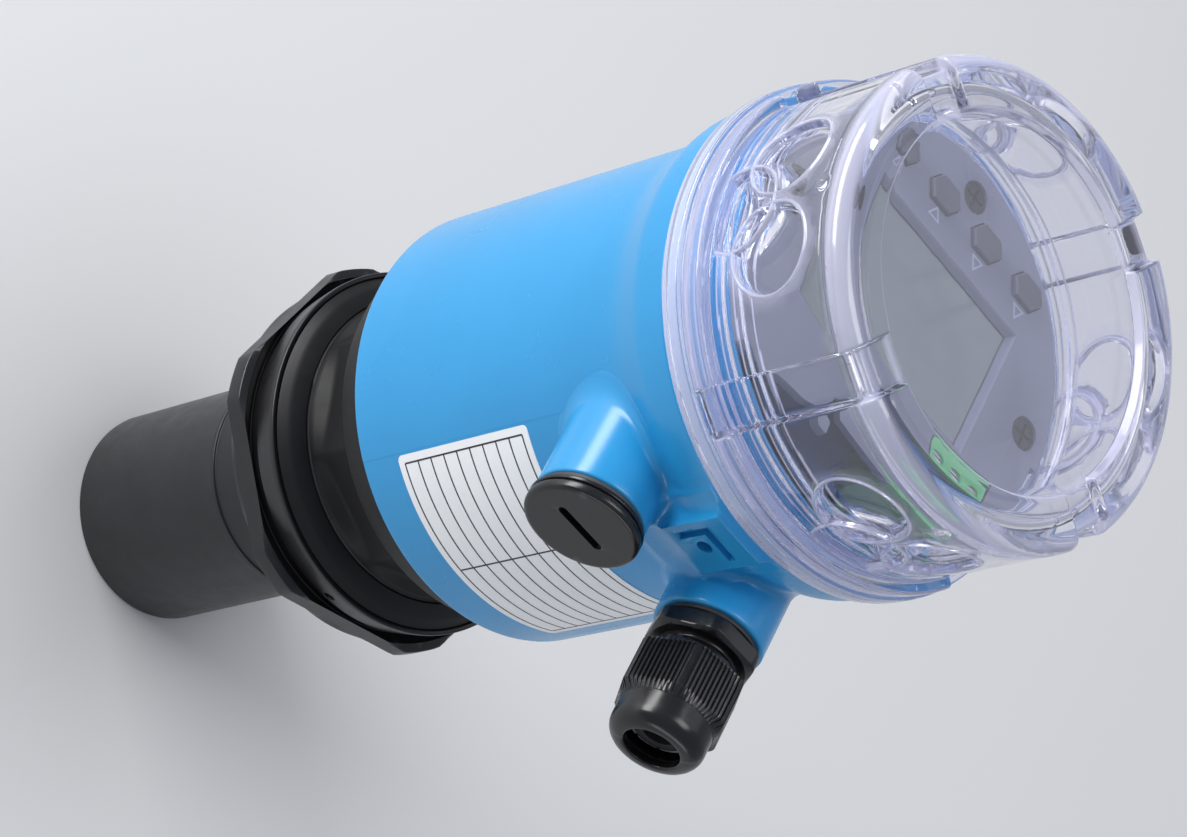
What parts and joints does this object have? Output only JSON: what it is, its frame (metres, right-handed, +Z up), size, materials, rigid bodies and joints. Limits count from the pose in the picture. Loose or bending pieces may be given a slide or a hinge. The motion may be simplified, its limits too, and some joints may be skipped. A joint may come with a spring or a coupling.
{
  "type": "ultrasonic level sensor",
  "caption": "Ultrasonic level sensor with a threaded transducer tube and lock nut, blue housing with cable gland and plugged entry, and a clear screw cover over display and keys",
  "frame": {"origin": "centre of the radiating face at the lower end of the sensor tube", "axes": "+Z up along the sensor axis to the cover, cable entries point to -Y, gland on the +X side"},
  "size_m": [0.092, 0.1208, 0.235],
  "materials": {
    "black_housing_plastic": "fine moulded texture",
    "black_nut_plastic": "satin moulded nylon",
    "black_rubber": "matt",
    "blue_plastic": "smooth moulded",
    "clear_plastic": "polished clear",
    "panel_grey_plastic": "fine moulded texture",
    "key_grey_rubber": "matt",
    "display_glass": "glossy",
    "label_film": "printed film",
    "terminal_green_plastic": "moulded",
    "circuit_board_laminate": "solder mask",
    "plated_steel": "zinc plated",
    "ceramic_disc": "fired ceramic with silvered faces",
    "potting_compound": "cast",
    "matching_composite": "lapped",
    "switch_plastic": "moulded",
    "nylon_claw": "moulded"
  },
  "bodies": {
    "sensor": {"transducer_body": "black_housing_plastic", "matching_layer": "matching_composite", "piezo_disc": "ceramic_disc", "damping_fill": "potting_compound", "body_seal": "black_rubber", "housing": "blue_plastic", "rating_label": "label_film", "gland_body": "black_nut_plastic", "gland_washer": "black_rubber", "display_panel": "panel_grey_plastic", "panel_screws": "plated_steel", "lcd_module": "display_glass", "display_board": "circuit_board_laminate", "tact_switches": "switch_plastic", "terminal_board": "circuit_board_laminate", "terminal_header": "terminal_green_plastic", "terminal_plug": "terminal_green_plastic", "terminal_screws": "plated_steel", "main_board": "circuit_board_laminate"},
    "cover_carrier": {"cover_seal": "black_rubber"},
    "cover_body": {"cover": "clear_plastic"},
    "nut_carrier": {"nut_gasket": "black_rubber"},
    "nut_body": {"lock_nut": "black_nut_plastic"},
    "gland_carrier": {"gland_seal": "black_rubber", "gland_claw": "nylon_claw"},
    "gland_cap": {"gland_nut": "black_nut_plastic"},
    "plug_carrier": {"plug_seal": "black_rubber"},
    "plug_body": {"blanking_plug": "black_nut_plastic"},
    "key_1_body": {"key_1": "key_grey_rubber"},
    "key_2_body": {"key_2": "key_grey_rubber"},
    "key_3_body": {"key_3": "key_grey_rubber"},
    "key_4_body": {"key_4": "key_grey_rubber"}
  },
  "joints": [
    {"name": "cover_travel", "type": "slide", "parent": "sensor", "child": "cover_carrier", "axis": [0, 0, 1], "range_m": [0, 0.012]},
    {"name": "cover_turn", "type": "hinge", "parent": "cover_carrier", "child": "cover_body", "pos_m": [0, 0, 0.2], "axis": [0, 0, 1], "range_deg": [0, 1080]},
    {"name": "lock_nut_travel", "type": "slide", "parent": "sensor", "child": "nut_carrier", "axis": [0, 0, -1], "range_m": [-0.008, 0.018]},
    {"name": "lock_nut_turn", "type": "hinge", "parent": "nut_carrier", "child": "nut_body", "pos_m": [0, 0, 0.0743], "axis": [0, 0, -1], "range_deg": [-1440, 3240]},
    {"name": "gland_nut_travel", "type": "slide", "parent": "sensor", "child": "gland_carrier", "axis": [0, -1, 0], "range_m": [0, 0.009]},
    {"name": "gland_nut_turn", "type": "hinge", "parent": "gland_carrier", "child": "gland_cap", "pos_m": [0.01675, -0.0496, 0.1736], "axis": [0, -1, 0], "range_deg": [0, 2160]},
    {"name": "blanking_plug_travel", "type": "slide", "parent": "sensor", "child": "plug_carrier", "axis": [0, -1, 0], "range_m": [0, 0.009]},
    {"name": "blanking_plug_turn", "type": "hinge", "parent": "plug_carrier", "child": "plug_body", "pos_m": [-0.01675, -0.0496, 0.1736], "axis": [0, -1, 0], "range_deg": [0, 2160]},
    {"name": "key_1_press", "type": "slide", "parent": "sensor", "child": "key_1_body", "axis": [0, 0, -1], "range_m": [0, 0.0006], "stiffness_N_per_m": 300},
    {"name": "key_2_press", "type": "slide", "parent": "sensor", "child": "key_2_body", "axis": [0, 0, -1], "range_m": [0, 0.0006], "stiffness_N_per_m": 300},
    {"name": "key_3_press", "type": "slide", "parent": "sensor", "child": "key_3_body", "axis": [0, 0, -1], "range_m": [0, 0.0006], "stiffness_N_per_m": 300},
    {"name": "key_4_press", "type": "slide", "parent": "sensor", "child": "key_4_body", "axis": [0, 0, -1], "range_m": [0, 0.0006], "stiffness_N_per_m": 300}
  ],
  "couplings": [
    {"joint": "cover_turn", "follows": "cover_travel", "rad_per_m": 1570.8},
    {"joint": "lock_nut_turn", "follows": "lock_nut_travel", "rad_per_m": 3141.6},
    {"joint": "gland_nut_turn", "follows": "gland_nut_travel", "rad_per_m": 4188.8},
    {"joint": "blanking_plug_turn", "follows": "blanking_plug_travel", "rad_per_m": 4188.8}
  ]
}
